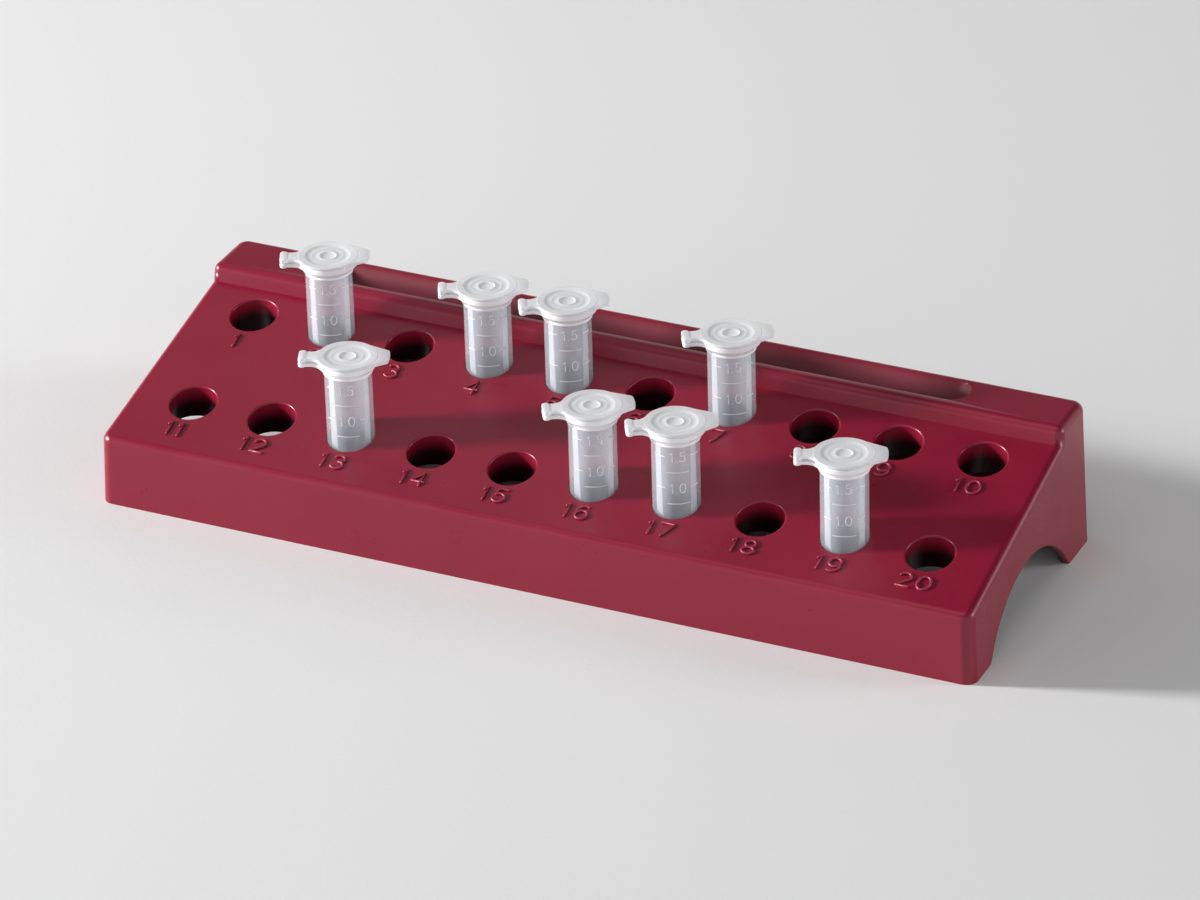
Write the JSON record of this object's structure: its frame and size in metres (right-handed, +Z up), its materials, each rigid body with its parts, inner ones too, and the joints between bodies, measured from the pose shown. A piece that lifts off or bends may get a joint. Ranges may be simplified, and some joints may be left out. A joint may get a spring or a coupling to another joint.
{
  "type": "microtube rack",
  "caption": "moulded sloping bench rack with stepped rows of numbered bores, a pen trough along its rear ridge and end finger arches, holding a few clear flip-lid microtubes",
  "frame": {"origin": "middle of the base, on the bench that the rack stands on", "axes": "+X along the rows, +Y from the low front wall to the high rear ridge, +Z up"},
  "size_m": [0.2162, 0.0716, 0.0488],
  "materials": {
    "rack_plastic": "satin",
    "clear_plastic": "clear, slightly milky"
  },
  "bodies": {
    "rack": {"rack": "rack_plastic", "tube_02": "clear_plastic", "tube_04": "clear_plastic", "tube_05": "clear_plastic", "tube_07": "clear_plastic", "tube_13": "clear_plastic", "tube_16": "clear_plastic", "tube_17": "clear_plastic", "tube_19": "clear_plastic"},
    "lid_02": {"lid_02": "clear_plastic"},
    "lid_04": {"lid_04": "clear_plastic"},
    "lid_05": {"lid_05": "clear_plastic"},
    "lid_07": {"lid_07": "clear_plastic"},
    "lid_13": {"lid_13": "clear_plastic"},
    "lid_16": {"lid_16": "clear_plastic"},
    "lid_17": {"lid_17": "clear_plastic"},
    "lid_19": {"lid_19": "clear_plastic"}
  },
  "joints": [
    {"name": "lid_02_hinge", "type": "hinge", "parent": "rack", "child": "lid_02", "pos_m": [-0.08111, 0.00691, 0.04741], "axis": [0.4226, -0.9063, 0], "range_deg": [0, 150]},
    {"name": "lid_04_hinge", "type": "hinge", "parent": "rack", "child": "lid_04", "pos_m": [-0.04047, 0.00682, 0.04751], "axis": [0.4305, -0.9026, 0], "range_deg": [0, 150]},
    {"name": "lid_05_hinge", "type": "hinge", "parent": "rack", "child": "lid_05", "pos_m": [-0.01971, 0.00597, 0.04771], "axis": [0.5075, -0.8616, 0], "range_deg": [0, 150]},
    {"name": "lid_07_hinge", "type": "hinge", "parent": "rack", "child": "lid_07", "pos_m": [0.02084, 0.00605, 0.04761], "axis": [0.5, -0.866, 0], "range_deg": [0, 150]},
    {"name": "lid_13_hinge", "type": "hinge", "parent": "rack", "child": "lid_13", "pos_m": [-0.06111, -0.02338, 0.04066], "axis": [0.3584, -0.9336, 0], "range_deg": [0, 150]},
    {"name": "lid_16_hinge", "type": "hinge", "parent": "rack", "child": "lid_16", "pos_m": [0.00069, -0.0252, 0.04066], "axis": [0.5225, -0.8526, 0], "range_deg": [0, 150]},
    {"name": "lid_17_hinge", "type": "hinge", "parent": "rack", "child": "lid_17", "pos_m": [0.02084, -0.02495, 0.04066], "axis": [0.5, -0.866, 0], "range_deg": [0, 150]},
    {"name": "lid_19_hinge", "type": "hinge", "parent": "rack", "child": "lid_19", "pos_m": [0.06076, -0.02356, 0.04116], "axis": [0.3746, -0.9272, 0], "range_deg": [0, 150]}
  ]
}
